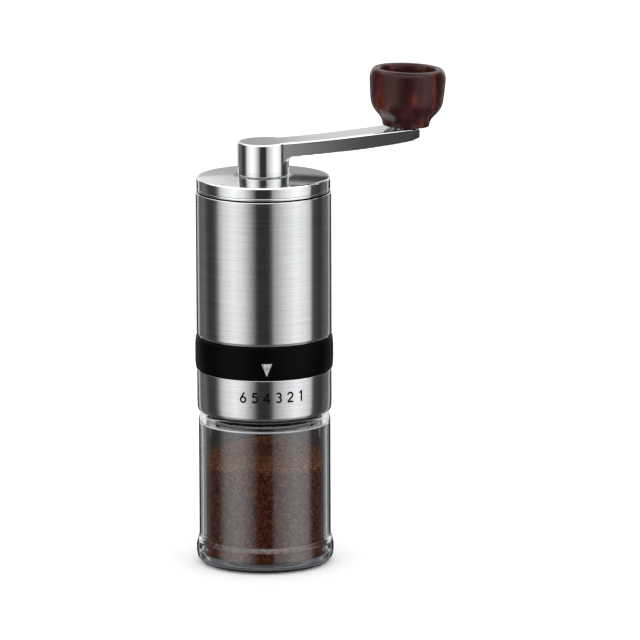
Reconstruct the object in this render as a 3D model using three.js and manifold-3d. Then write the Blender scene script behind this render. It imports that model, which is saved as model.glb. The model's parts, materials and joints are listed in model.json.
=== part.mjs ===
// Hand crank coffee grinder: steel hopper tube, numbered grind ring, screw-on glass jar, lift-off crank.
// Millimetres, +Z up. The origin is the centre of the jar's flat base. The arm points along +X and the
// pointer on the black collar faces -Y.
import * as THREE from "three";
import { mergeVertices } from "three/addons/utils/BufferGeometryUtils.js";
import Module from "manifold-3d";

const wasm = await Module();
wasm.setup();

// ---- driving dimensions ----
const TURN = 2 * Math.PI;
const BIG = 36; // facets round the large rings
const SMALL = 16; // facets round shafts, bushes and screws

const TUBE_R = 26.0; // steel hopper tube, outside
const TUBE_BORE = 25.3;
const TUBE_Z = [89.3, 145.3];

const COLLAR_R = 26.6; // black collar between the tube and the grind ring
const COLLAR_Z = [76.6, 89.05];
const POINTER_DEG = -5.5; // pointer's offset from -Y, towards +X

const RING_R = 25.9; // numbered grind ring
const RING_Z = [60.3, 76.3];
const STEP_DEG = 10.2; // one number of the grind ring
const GRIND_LEAD = 7.06; // rise of the cam slots per full turn
const GRIND_TURN_DEG = [-3 * STEP_DEG, 2 * STEP_DEG];
const BURR_TRAVEL = [-0.4, 0.6]; // the carrier's way down and up from the middle setting

const JAR_R = 25.4; // glass jar, outside of the straight wall
const JAR_BORE = 23.0;
const NECK_R = 20.6;
const NECK_BORE = 18.4;
const NECK_TOP = 68.7;
const JAR_LEAD = 8.4; // two-start jar thread, rise per full turn
const SKIRT_BORE = 22.6; // the housing's skirt round the jar's neck
const SKIRT_R = 23.65;

const PIN_Z = 73.5; // guide pins' height
const PIN_R = 0.8;
const ARM_DEG = [30, 150, 270]; // the carrier's three arms
const SCREW_DEG = [90, 210, 330]; // burr screws and the bridge's spokes
const SCREW_RING = 17.1;

const BURR_Z = [77.3, 91.7];
const FUNNEL_TOP = 104.0;
const SHAFT_R = 3.0;
const SHAFT_Z = [68.0, 161.6];
const HEX_FROM = 146.0; // the shaft is hexagonal above this
const HEX_R = 3.15; // to its corners

const HUB_R = 9.8; // crank's hub
const HUB_Z = [152.2, 164.6];
const KNOB_X = 55.2; // crank radius
const KNOB_Z = 169.4; // knob's underside on its axis
const KNOB_TILT_DEG = 2.4; // the knob's axis leans outwards
const ARM_NECK_X = 4; // the arm is narrowest here
const ARM_NECK = 7.0; // its half-width there
const ARM_END = 60.9;
const ARM_CORNER_R = 4.6; // at the arm's end, seen from above

// ---- materials ----
const metal = (color, roughness) => ({ color, roughness, metalness: 0.95 });
const plain = (color, roughness) => ({ color, roughness, metalness: 0 });
const BRUSHED = metal(0xb9bbbd, 0.34);
const POLISHED = metal(0xd6d8da, 0.1);
const DARK_STEEL = metal(0x77797c, 0.35);
const BRONZE = metal(0xb08a4a, 0.35);
const BLACK = plain(0x141517, 0.45);
const CERAMIC = plain(0xe9e6df, 0.4);
const SILICONE = plain(0x2b2d30, 0.8);
const GLASS = { color: 0xdfe9ea, roughness: 0.05, metalness: 0, transparent: true, opacity: 0.35 };
const WOOD = plain(0x38150f, 0.3);
const COFFEE = plain(0x3f2114, 0.95);

// ---- shape helpers ----
// A geometry as a closed solid, without the triangles that collapse on the axis.
function solid(geometry) {
  const bare = geometry.clone();
  bare.deleteAttribute("normal");
  bare.deleteAttribute("uv");
  const merged = mergeVertices(bare, 1e-4);
  const index = merged.index.array;
  const kept = [];
  for (let i = 0; i < index.length; i += 3) {
    const [a, b, c] = [index[i], index[i + 1], index[i + 2]];
    if (a !== b && b !== c && c !== a) kept.push(a, b, c);
  }
  const mesh = new wasm.Mesh({
    numProp: 3,
    vertProperties: merged.attributes.position.array,
    triVerts: new Uint32Array(kept),
  });
  return new wasm.Manifold(mesh);
}

function geometryOf(body) {
  const mesh = body.getMesh();
  const geometry = new THREE.BufferGeometry();
  geometry.setAttribute("position", new THREE.BufferAttribute(mesh.vertProperties, 3));
  geometry.setIndex(new THREE.BufferAttribute(mesh.triVerts, 1));
  const flat = geometry.toNonIndexed();
  flat.computeVertexNormals();
  return flat;
}

const join = (first, ...others) => others.reduce((all, one) => all.add(one), first);
const cut = (first, ...others) => others.reduce((left, one) => left.subtract(one), first);

// A profile of [r, z] points turned about Z. A profile off the axis is closed on itself.
function turned(profile, facets) {
  const area = profile.reduce((sum, [r, z], i) => {
    const [r2, z2] = profile[(i + 1) % profile.length];
    return sum + r * z2 - r2 * z;
  }, 0);
  const points = profile.map(([r, z]) => new THREE.Vector2(r, z));
  if (area < 0) points.reverse();
  if (profile.every(([r]) => r > 0)) points.push(points[0].clone());
  return solid(new THREE.LatheGeometry(points, facets).rotateX(Math.PI / 2));
}

const disc = (r, [z0, z1], facets) => turned([[0, z0], [r, z0], [r, z1], [0, z1]], facets);
const tube = (r0, r1, [z0, z1], facets) => turned([[r0, z0], [r1, z0], [r1, z1], [r0, z1]], facets);

// A block reaching outwards along a direction round Z, centred on a height.
function spoke(width, height, [r0, r1], z, deg) {
  const block = new THREE.BoxGeometry(r1 - r0, width, height);
  return solid(block.translate((r0 + r1) / 2, 0, z).rotateZ(THREE.MathUtils.degToRad(deg)));
}

// A body made along Z, laid to point outwards round Z at a height.
function radial(body, z, deg) {
  const geometry = geometryOf(body).rotateY(Math.PI / 2);
  return solid(geometry.rotateZ(THREE.MathUtils.degToRad(deg)).translate(0, 0, z));
}

const moved = (body, x, y, z) => solid(geometryOf(body).translate(x, y, z));

// A convex section of [r, z] points, anticlockwise, wound up a right-hand helix.
function helix(section, lead, fromDeg, toDeg, steps) {
  const n = section.length;
  const corners = [];
  for (let i = 0; i <= steps; i++) {
    const angle = THREE.MathUtils.degToRad(fromDeg + ((toDeg - fromDeg) * i) / steps);
    for (const [r, z] of section) {
      corners.push(r * Math.cos(angle), r * Math.sin(angle), z + (lead * angle) / TURN);
    }
  }
  const faces = [];
  for (let i = 0; i < steps; i++) {
    for (let j = 0; j < n; j++) {
      const [a, b] = [i * n + j, i * n + ((j + 1) % n)];
      faces.push(a, a + n, b, b, a + n, b + n);
    }
  }
  for (let j = 1; j < n - 1; j++) {
    faces.push(0, j, j + 1);
    faces.push(steps * n, steps * n + j + 1, steps * n + j);
  }
  const geometry = new THREE.BufferGeometry();
  geometry.setAttribute("position", new THREE.Float32BufferAttribute(corners, 3));
  geometry.setIndex(faces);
  return solid(geometry);
}

// A flat outline of [x, y] points pulled up from z0 to z1.
function prism(outline, [z0, z1]) {
  const shape = new THREE.Shape(outline.map(([x, y]) => new THREE.Vector2(x, y)));
  const geometry = new THREE.ExtrudeGeometry(shape, { depth: z1 - z0, bevelEnabled: false });
  return solid(geometry.translate(0, 0, z0));
}

const ringOutline = (r, count, phase) =>
  Array.from({ length: count }, (_, i) => {
    const angle = phase + (TURN * i) / count;
    return [r * Math.cos(angle), r * Math.sin(angle)];
  });

// An open retaining ring: a flat arc with a gap.
function openRing(r0, r1, z, gapDeg) {
  const half = THREE.MathUtils.degToRad(gapDeg / 2);
  const shape = new THREE.Shape();
  shape.absarc(0, 0, r1, half, TURN - half, false);
  shape.absarc(0, 0, r0, TURN - half, half, true);
  const depth = z[1] - z[0];
  const geometry = new THREE.ExtrudeGeometry(shape, { depth, bevelEnabled: false, curveSegments: 12 });
  return solid(geometry.translate(0, 0, z[0]));
}

// ---- hopper tube and collar ----
function bodyShell() {
  const [low, high] = TUBE_Z;
  return turned(
    [
      [TUBE_BORE, low + 0.5],
      [TUBE_R - 0.35, low],
      [TUBE_R, low + 0.5],
      [TUBE_R, high - 0.4],
      [TUBE_R - 0.35, high],
      [TUBE_BORE, high - 0.3],
    ],
    BIG,
  );
}

function pointerOutline(grow) {
  const [half, top, tip] = [2.0 + 1.6 * grow, 2.0 + grow, -2.8 - 2.4 * grow];
  return [[-half, top], [0, tip], [half, top]];
}

// The triangle is made flat in X-Z facing -Y, then turned to its place round Z.
function pointerBody(grow, y0, y1) {
  const slab = geometryOf(prism(pointerOutline(grow), [0, y1 - y0])).rotateX(Math.PI / 2);
  slab.translate(0, y1, COLLAR_Z[1] - 8.05).rotateZ(THREE.MathUtils.degToRad(POINTER_DEG));
  return solid(slab);
}

function collar() {
  const [low, high] = COLLAR_Z;
  const ring = turned(
    [
      [25.35, low],
      [COLLAR_R - 0.5, low],
      [COLLAR_R - 0.05, low + 0.5],
      [COLLAR_R, low + 4],
      [COLLAR_R, high - 2],
      [COLLAR_R - 0.15, high - 0.3],
      [COLLAR_R - 0.5, high],
      [25.35, high],
    ],
    BIG,
  );
  return cut(ring, pointerBody(0.3, -COLLAR_R - 1, -COLLAR_R + 0.75));
}

const pointerMark = () => pointerBody(0, -COLLAR_R, -COLLAR_R + 0.45);

// ---- housing ----
function jarThread(r0, r1, z, fromDeg, toDeg) {
  const [root, crest] = [0.75, 0.45];
  const outward = [[r0, z - root], [r1, z - crest], [r1, z + crest], [r0, z + root]];
  const inward = [[r1, z - crest], [r0, z - root], [r0, z + root], [r1, z + crest]];
  return helix(r1 > r0 ? outward : inward, JAR_LEAD, fromDeg, toDeg, Math.round((toDeg - fromDeg) / 9));
}

function burrHousing() {
  const body = turned(
    [
      [SKIRT_BORE, 60.3],
      [SKIRT_R, 60.3],
      [SKIRT_R, 60.8],
      [SKIRT_R - 0.55, 60.8],
      [SKIRT_R - 0.55, 62.0],
      [SKIRT_R, 62.0],
      [SKIRT_R, 76.7],
      [25.0, 77.3],
      [25.0, FUNNEL_TOP],
      [24.5, FUNNEL_TOP],
      [12.7, 93.2],
      [12.3, 92.0],
      [15.3, 92.0],
      [15.3, 77.3],
      [18.9, 77.3],
      [18.9, 96.4],
      [23.4, 100.5],
      [23.4, 78.4],
      [SKIRT_BORE, 77.4],
      [SKIRT_BORE, 71.2],
      [18.9, 71.2],
      [18.9, 70.2],
      [SKIRT_BORE, 70.2],
    ],
    BIG,
  );
  const threads = [0, 180].map((deg) =>
    jarThread(SKIRT_BORE + 0.3, NECK_R + 0.6, 62.9 - (JAR_LEAD * deg) / 360, deg, deg + 190),
  );
  const slots = ARM_DEG.map((deg) => spoke(2.2, 3.2, [SKIRT_BORE - 1, SKIRT_R + 1], PIN_Z + 0.1, deg));
  const holes = SCREW_DEG.map((deg) => moved(disc(1.15, [76, 84.5], 10), ...onScrewRing(deg), 0));
  return cut(join(body, ...threads), ...slots, ...holes);
}

function onScrewRing(deg) {
  const angle = THREE.MathUtils.degToRad(deg);
  return [SCREW_RING * Math.cos(angle), SCREW_RING * Math.sin(angle)];
}

// ---- burr set ----
// A ring whose radius swings between two values, tooth by tooth: points are [r, z, depth].
function toothed(wall, teeth, outer) {
  const count = teeth * 2;
  const loop = [...wall, ...outer.map(([r, z]) => [r, z, 0])];
  const corners = [];
  for (let i = 0; i < count; i++) {
    const angle = (TURN * i) / count;
    for (const [r, z, depth] of loop) {
      const reach = i % 2 ? r + depth : r;
      corners.push(reach * Math.cos(angle), reach * Math.sin(angle), z);
    }
  }
  const n = loop.length;
  const faces = [];
  for (let i = 0; i < count; i++) {
    const next = ((i + 1) % count) * n;
    for (let j = 0; j < n; j++) {
      const k = (j + 1) % n;
      faces.push(i * n + j, next + j, i * n + k, i * n + k, next + j, next + k);
    }
  }
  const geometry = new THREE.BufferGeometry();
  geometry.setAttribute("position", new THREE.Float32BufferAttribute(corners, 3));
  geometry.setIndex(faces);
  return solid(geometry);
}

function outerBurr() {
  const wall = [
    [11.8, BURR_Z[1], 0.6],
    [10.35, 85.0, 0.5],
    [10.7, 82.6, 0.4],
    [12.7, BURR_Z[0], 0.25],
  ];
  return toothed(wall, 18, [[15.0, BURR_Z[0]], [15.0, BURR_Z[1]]]);
}

function innerBurr() {
  const wall = [
    [SHAFT_R + 0.3, BURR_Z[0] - 0.2, 0],
    [11.9, BURR_Z[0] - 0.2, -0.35],
    [9.9, 82.6, -0.55],
    [8.4, 86.8, -1.1],
    [6.6, 91.2, -1.3],
    [SHAFT_R + 0.3, 91.6, 0],
  ];
  return toothed(wall, 18, []);
}

function burrClampRing() {
  const ring = tube(13.4, 18.8, [75.8, 77.0], BIG);
  const sinks = SCREW_DEG.map((deg) => {
    const hole = turned([[0, 75.7], [2.4, 75.7], [2.35, 76.0], [1.2, 77.1], [0, 77.1]], 10);
    return moved(hole, ...onScrewRing(deg), 0);
  });
  return cut(ring, ...sinks);
}

function burrScrew(deg) {
  const body = turned(
    [[0, 75.8], [1.95, 75.8], [1.95, 76.0], [0.85, 77.1], [0.85, 83.5], [0.4, 84.0], [0, 84.0]],
    10,
  );
  const slotted = cut(body, spoke(0.6, 1.2, [-2.4, 2.4], 75.9, 0));
  return moved(slotted, ...onScrewRing(deg), 0);
}

// ---- bridge that holds the shaft's upper bearing ----
function topBridge() {
  const sleeve = turned(
    [[6.2, 117.0], [7.4, 117.0], [7.6, 118.0], [7.6, 138.0], [7.2, 138.6], [6.2, 138.6]],
    SMALL,
  );
  const spokes = SCREW_DEG.map((deg) => spoke(3.2, 4.6, [6.9, 24.2], 134.0, deg));
  const feet = SCREW_DEG.map((deg) => spoke(8.0, 7.0, [22.6, 24.6], 134.0, deg));
  return join(sleeve, ...spokes, ...feet);
}

const upperBush = () =>
  turned(
    [[3.1, 131.8], [5.9, 131.8], [5.9, 138.9], [7.2, 138.9], [7.2, 139.9], [3.1, 139.9]],
    SMALL,
  );

// ---- grind ring ----
const numberRing = () =>
  turned(
    [
      [25.15, RING_Z[0]],
      [RING_R - 0.45, RING_Z[0]],
      [RING_R - 0.2, RING_Z[0] + 0.6],
      [RING_R, RING_Z[0] + 2.4],
      [RING_R, RING_Z[1] - 0.3],
      [RING_R - 0.3, RING_Z[1]],
      [25.15, RING_Z[1]],
    ],
    BIG,
  );

function dialCore() {
  const sleeve = tube(23.95, 24.85, [62.2, 76.2], BIG);
  const reach = [THREE.MathUtils.radToDeg(PIN_R / 24) + 1.5, 1.05];
  const slots = ARM_DEG.map((deg) => {
    const [from, to] = [deg - GRIND_TURN_DEG[1] - reach[0], deg - GRIND_TURN_DEG[0] + reach[0]];
    const z = PIN_Z - (GRIND_LEAD * deg) / 360;
    const section = [[23.4, z - reach[1]], [25.6, z - reach[1]], [25.6, z + reach[1]], [23.4, z + reach[1]]];
    return helix(section, GRIND_LEAD, from, to, 8);
  });
  return cut(sleeve, ...slots);
}

const dialRetainer = () => openRing(SKIRT_R - 0.3, 24.6, [61.1, 61.7], 24);

// ---- carrier: lifts and lowers the inner burr ----
function carrier() {
  const hub = tube(4.9, 8.2, [70.8, 75.0], SMALL);
  const arms = ARM_DEG.map((deg) => spoke(4.4, 2.5, [7.4, 21.9], PIN_Z, deg));
  const bores = ARM_DEG.map((deg) => radial(disc(PIN_R + 0.2, [16.5, 23], 8), PIN_Z, deg));
  return cut(join(hub, ...arms), ...bores);
}

const guidePin = (deg) => radial(disc(PIN_R, [16.8, 24.7], 10), PIN_Z, deg);

const lowerBush = () =>
  turned([[3.1, 70.7], [4.6, 70.7], [4.6, 75.3], [6.2, 75.3], [6.2, 76.2], [3.1, 76.2]], SMALL);

const thrustWasher = () => tube(3.3, 6.2, [76.35, 76.85], SMALL);

// ---- drive shaft ----
function groove(r, z) {
  return [[SHAFT_R, z - 0.15], [r, z - 0.15], [r, z + 0.65], [SHAFT_R, z + 0.65]];
}

function driveShaft() {
  const round = turned(
    [
      [0, SHAFT_Z[0]],
      [2.5, SHAFT_Z[0]],
      [SHAFT_R, SHAFT_Z[0] + 0.4],
      ...groove(2.2, 69.0),
      ...groove(2.2, 117.2),
      [SHAFT_R, HEX_FROM],
      [0, HEX_FROM],
    ],
    SMALL,
  );
  const hex = prism(ringOutline(HEX_R, 6, 0), [HEX_FROM - 0.5, SHAFT_Z[1]]);
  return join(round, hex);
}

const shaftWasher = (z) => tube(3.3, 5.6, [z, z + 0.6], SMALL);
const shaftClip = (z) => openRing(2.5, 5.0, [z, z + 0.45], 60);
const burrNut = () => cut(prism(ringOutline(5.2, 6, 0), [92.0, 96.0]), disc(3.2, [91, 97], SMALL));

function burrSpring() {
  const wire = 0.5;
  const section = ringOutline(wire, 5, 0).map(([r, z]) => [4.7 + r, z + 119.6]);
  return helix(section, 1.72, 0, 360 * 6.5, 78);
}

// ---- lid ----
const lidCap = () =>
  turned(
    [
      [25.0, 145.75],
      [25.65, 145.75],
      [25.65, 146.4],
      [25.5, 146.6],
      [25.5, 149.7],
      [25.2, 150.6],
      [24.4, 151.1],
      [15.0, 151.5],
      [4.6, 151.7],
      [4.6, 151.0],
      [15.0, 150.8],
      [24.0, 150.4],
      [25.0, 149.5],
    ],
    BIG,
  );

const lidPlug = () =>
  turned(
    [
      [23.2, 141.4],
      [24.3, 141.4],
      [24.7, 141.9],
      [24.7, 142.4],
      [23.9, 142.4],
      [23.9, 144.6],
      [24.7, 144.6],
      [24.7, 149.0],
      [24.0, 149.9],
      [4.8, 150.2],
      [4.8, 145.0],
      [6.6, 145.0],
      [6.6, 148.4],
      [23.2, 148.0],
    ],
    BIG,
  );

const lidSeal = () =>
  turned([[24.1, 142.7], [24.9, 142.7], [25.1, 143.5], [24.9, 144.3], [24.1, 144.3]], BIG);

// ---- crank ----
// Height of the arm's top and bottom face at a distance from the shaft.
const ARM_TOP = [[8, 164.6], [14, 165.0], [22, 165.75], [31, 166.5], [41, 167.5], [52, 168.55], [60.9, 169.35]];
const ARM_END_ROUND = [[60.6, 168.8], [59.9, 167.9], [58.4, 166.4], [57, 165.1], [55.6, 164.4], [54, 164.05]];
const ARM_UNDER = [[50.8, 163.5], [44.6, 162.55], [38.5, 161.75], [32, 161.1], [26, 160.6], [15, 159.7]];
const ARM_FILLET = [[11.6, 158.6], [10.3, 156.9], [9.9, 155.0]];

const armHalfWidth = (x) => ARM_NECK + 0.0005 * (x - ARM_NECK_X) ** 2;

function crankArm() {
  const top = [[-HUB_R - 1, HUB_Z[0]], [-HUB_R - 1, HUB_Z[1]], ...ARM_TOP];
  const outline = [...top, ...ARM_END_ROUND, ...ARM_UNDER, ...ARM_FILLET, [HUB_R, HUB_Z[0]]].reverse();
  const slab = geometryOf(prism(outline, [-HUB_R - 1, HUB_R + 1])).rotateX(Math.PI / 2);
  const plan = [];
  const steps = 12;
  const hubSide = Math.asin(ARM_NECK / HUB_R);
  for (let i = 0; i <= steps; i++) {
    plan.push(onCircle(0, 0, HUB_R, hubSide + ((TURN - 2 * hubSide) * i) / steps));
  }
  const cornerX = ARM_END - ARM_CORNER_R;
  const cornerY = armHalfWidth(cornerX) - ARM_CORNER_R;
  const sideX = [18, 31, 44];
  plan.push(...sideX.map((x) => [x, -armHalfWidth(x)]));
  for (let i = 0; i <= 5; i++) {
    plan.push(onCircle(cornerX, -cornerY, ARM_CORNER_R, (TURN / 4) * (i / 5 - 1)));
  }
  for (let i = 0; i <= 5; i++) {
    plan.push(onCircle(cornerX, cornerY, ARM_CORNER_R, (TURN / 4) * (i / 5)));
  }
  plan.push(...sideX.reverse().map((x) => [x, armHalfWidth(x)]));
  const blank = solid(slab).intersect(prism(plan, [HUB_Z[0] - 1, 175]));
  const seat = knobFrame(disc(9.6, [-0.3, 3], BIG));
  const spotFace = knobFrame(disc(5.7, [-1.2, 3], SMALL));
  const thread = knobFrame(disc(2.2, [-8, 0], 12));
  const socket = prism(ringOutline(HEX_R + 0.3, 6, 0), [HUB_Z[0] - 1, 162.0]);
  return cut(blank, seat, spotFace, thread, socket);
}

const onCircle = (x, y, r, angle) => [x + r * Math.cos(angle), y + r * Math.sin(angle)];

// A body made along Z from the knob's underside, moved to the end of the arm and leaned outwards.
function knobFrame(body) {
  const geometry = geometryOf(body).rotateY(THREE.MathUtils.degToRad(KNOB_TILT_DEG));
  return solid(geometry.translate(KNOB_X, 0, KNOB_Z));
}

function knobScrew() {
  const body = turned(
    [
      [0, -3.5],
      [1.4, -3.5],
      [1.9, -3.0],
      [1.9, -1.1],
      [2.5, -1.1],
      [2.5, 12.3],
      [4.4, 12.3],
      [4.4, 14.0],
      [3.9, 14.5],
      [0, 14.5],
    ],
    SMALL,
  );
  return cut(body, prism(ringOutline(1.75, 6, 0), [12.9, 16]));
}

const knobWasher = () => tube(2.8, 5.2, [-0.9, -0.3], SMALL);
const knobBush = () => tube(2.75, 3.5, [0.05, 11.9], SMALL);

const knob = () =>
  turned(
    [
      [3.8, 0],
      [8.5, 0],
      [8.95, 0.4],
      [9.3, 1.6],
      [9.9, 2.8],
      [10.9, 4.0],
      [11.8, 5.2],
      [12.8, 6.4],
      [13.4, 7.5],
      [13.8, 8.8],
      [14.05, 10.6],
      [14.25, 12.6],
      [14.45, 15.4],
      [14.6, 18.2],
      [14.4, 19.8],
      [13.9, 21.1],
      [13.1, 21.9],
      [12.5, 22.1],
      [11.7, 22.1],
      [10.95, 21.6],
      [10.5, 20.2],
      [10.15, 16.8],
      [9.1, 13.9],
      [7.4, 12.4],
      [5.6, 12.0],
      [3.8, 12.0],
    ],
    28,
  );

// ---- jar ----
function jar() {
  const glass = turned(
    [
      [0, 0],
      [22.8, 0],
      [24.6, 0.7],
      [25.9, 2.1],
      [26.5, 4.4],
      [26.45, 6.6],
      [26.0, 8.6],
      [JAR_R, 10.4],
      [JAR_R, 55.4],
      [25.0, 57.4],
      [23.8, 58.9],
      [22.2, 59.5],
      [NECK_R, 59.6],
      [NECK_R, NECK_TOP - 0.4],
      [NECK_R - 0.5, NECK_TOP],
      [NECK_BORE + 0.4, NECK_TOP],
      [NECK_BORE, NECK_TOP - 0.5],
      [NECK_BORE, 58.8],
      [20.4, 57.2],
      [22.4, 55.4],
      [JAR_BORE, 53.0],
      [JAR_BORE, 9.8],
      [23.9, 7.6],
      [24.1, 5.0],
      [23.2, 2.9],
      [21.4, 2.0],
      [0, 2.0],
    ],
    BIG,
  );
  const threads = [0, 180].map((deg) =>
    jarThread(NECK_R - 0.3, SKIRT_BORE - 0.7, 65.0 - (JAR_LEAD * deg) / 360, deg - 40, deg + 110),
  );
  return join(glass, ...threads);
}

const jarGasket = () => tube(18.8, 20.6, [68.95, 69.95], BIG);

// Ground coffee, heaped higher towards the back of the jar.
function groundCoffee() {
  const r = JAR_BORE - 0.4;
  const base = [[0, 2.4], [21.2, 2.4], [22.8, 3.2], [23.65, 5.0], [23.45, 7.4], [r, 9.7]];
  const pot = turned([...base, [r, 39.5], [0, 39.5]], BIG);
  const rings = [0, 8, 15, 19.5, r];
  const heap = turned([[0, 39.0], ...rings.slice(1).map((at) => [at, 39.0]), ...rings.map((at) => [at, 41])
    .reverse()], BIG);
  const geometry = geometryOf(heap);
  const points = geometry.attributes.position;
  for (let i = 0; i < points.count; i++) {
    const [x, y] = [points.getX(i), points.getY(i)];
    const swell = 1.2 * (1 - (x * x + y * y) / (r * r));
    if (points.getZ(i) > 40) points.setZ(i, 41.4 + swell + 0.105 * y + 0.02 * x);
  }
  return join(pot, solid(geometry));
}

// ---- assembly ----
const root = new THREE.Group();

function add(group, name, body, look) {
  const mesh = new THREE.Mesh(geometryOf(body), new THREE.MeshStandardMaterial(look));
  mesh.name = name;
  group.add(mesh);
}

const housing = new THREE.Group();
add(housing, "body_shell", bodyShell(), BRUSHED);
add(housing, "collar", collar(), BLACK);
add(housing, "pointer_mark", pointerMark(), POLISHED);
add(housing, "burr_housing", burrHousing(), BLACK);
add(housing, "outer_burr", outerBurr(), CERAMIC);
add(housing, "burr_clamp_ring", burrClampRing(), DARK_STEEL);
SCREW_DEG.forEach((deg, i) => add(housing, `burr_screw_${i + 1}`, burrScrew(deg), DARK_STEEL));
add(housing, "top_bridge", topBridge(), BLACK);
add(housing, "upper_bush", upperBush(), BRONZE);
add(housing, "dial_retainer", dialRetainer(), DARK_STEEL);

const dial = new THREE.Group();
add(dial, "number_ring", numberRing(), BRUSHED);
add(dial, "dial_core", dialCore(), BLACK);

const lift = new THREE.Group();
add(lift, "carrier", carrier(), DARK_STEEL);
ARM_DEG.forEach((deg, i) => add(lift, `guide_pin_${i + 1}`, guidePin(deg), POLISHED));
add(lift, "lower_bush", lowerBush(), BRONZE);
add(lift, "burr_spring", burrSpring(), POLISHED);

const drive = new THREE.Group();
add(drive, "drive_shaft", driveShaft(), POLISHED);
add(drive, "inner_burr", innerBurr(), CERAMIC);
add(drive, "thrust_washer", thrustWasher(), BRONZE);
add(drive, "burr_nut", burrNut(), DARK_STEEL);
add(drive, "shaft_washer", shaftWasher(69.75), DARK_STEEL);
add(drive, "shaft_clip", shaftClip(69.05), DARK_STEEL);
add(drive, "spring_washer", shaftWasher(117.95), DARK_STEEL);
add(drive, "spring_clip", shaftClip(117.25), DARK_STEEL);

const lid = new THREE.Group();
add(lid, "lid_cap", lidCap(), BRUSHED);
add(lid, "lid_plug", lidPlug(), BLACK);
add(lid, "lid_seal", lidSeal(), SILICONE);

const crank = new THREE.Group();
add(crank, "crank_arm", crankArm(), POLISHED);
add(crank, "knob_screw", knobFrame(knobScrew()), POLISHED);
add(crank, "knob_washer", knobFrame(knobWasher()), POLISHED);
add(crank, "knob_bush", knobFrame(knobBush()), BRONZE);
add(crank, "knob", knobFrame(knob()), WOOD);

const store = new THREE.Group();
add(store, "jar", jar(), GLASS);
add(store, "jar_gasket", jarGasket(), SILICONE);
add(store, "ground_coffee", groundCoffee(), COFFEE);

root.add(housing, dial, lift, drive, lid, crank, store);
export default root;
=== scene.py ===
"""Looks of a hand crank coffee grinder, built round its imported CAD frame.

Shapes are given in millimetres in the row frame and put into Blender in metres.
"""

import json
import math

import bpy
import numpy as np
from mathutils import Matrix, Vector


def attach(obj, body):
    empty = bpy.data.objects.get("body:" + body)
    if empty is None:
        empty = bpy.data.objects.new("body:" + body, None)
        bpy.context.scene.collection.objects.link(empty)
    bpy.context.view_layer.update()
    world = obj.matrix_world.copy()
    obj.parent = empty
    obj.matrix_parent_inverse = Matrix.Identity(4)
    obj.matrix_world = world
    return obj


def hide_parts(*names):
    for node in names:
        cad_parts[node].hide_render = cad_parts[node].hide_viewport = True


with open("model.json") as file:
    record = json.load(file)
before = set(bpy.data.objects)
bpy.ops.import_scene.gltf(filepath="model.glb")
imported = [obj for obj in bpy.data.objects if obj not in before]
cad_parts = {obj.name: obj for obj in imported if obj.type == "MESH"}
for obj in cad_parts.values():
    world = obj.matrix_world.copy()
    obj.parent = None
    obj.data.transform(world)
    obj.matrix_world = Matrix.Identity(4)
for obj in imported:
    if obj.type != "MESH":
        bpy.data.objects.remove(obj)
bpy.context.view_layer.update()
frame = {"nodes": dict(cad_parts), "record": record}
nodes = frame["nodes"]

MM = 0.001
AROUND = 144  # facets round the large turned pieces
SHARP = math.radians(38)

TUBE_R, TUBE_BORE = 26.0, 25.3
COLLAR_R, COLLAR_BORE = 26.6, 25.36
RING_R, RING_BORE = 25.9, 25.16
POINTER_DEG = -5.5  # from the front, -Y
STEP_DEG = 10.2  # between two numbers
NUMBER_Z = 69.6
PEN = 0.35  # half the width of a number's stroke
KNOB_X, KNOB_Z, KNOB_TILT = 55.2, 169.4, math.radians(2.4)
HUB_R, HUB_LOW = 9.8, 152.2
HUB_FOOT = HUB_LOW - 0.34  # inside the lid's recess
ARM_NECK, ARM_END = 7.0, 60.0  # half its width at the hub, and its reach
SHAFT_HEX, SHAFT_HEX_TOP = 2.99, 162.0  # half the width across its flats
JAR_R, JAR_BORE, NECK_R, NECK_BORE, NECK_TOP = 25.4, 23.0, 20.6, 18.4, 68.7
JAR_LEAD, THREAD_Z = 8.4, 65.0
HEAP_R, HEAP_Z, HEAP_CROWN = 22.6, 41.3, 1.3
HEAP_FOOT = 9.7  # above this the coffee's side is straight
TOP_LIGHT_FROM, TOP_LIGHT_TO = 0.0384, 0.0398  # in metres: painted light, the coffee grows paler between these heights as if lit from above
LUMP_SEED, HEAP_SEED, GRAIN_SEED = 4, 11, 23
GRAINS = 1500
VIEW_DEG = -8.0  # the camera stands this far round from the front, towards -X


# ---- node helpers ----
def add_node(tree, kind, inputs=None, **settings):
    """A node with its inputs linked to sockets or set to values."""
    made = tree.nodes.new(kind)
    for key, value in settings.items():
        setattr(made, key, value)
    for key, value in (inputs or {}).items():
        if isinstance(value, bpy.types.NodeSocket):
            tree.links.new(value, made.inputs[key])
        else:
            made.inputs[key].default_value = value
    return made


def fill_ramp(ramp_node, stops):
    """Puts (place, colour) stops on a new colour ramp."""
    band = ramp_node.color_ramp
    while len(band.elements) < len(stops):
        band.elements.new(0.5)
    for element, (at, color) in zip(band.elements, stops):
        element.position = at
        element.color = (*color, 1.0)
    return ramp_node.outputs["Color"]


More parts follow.
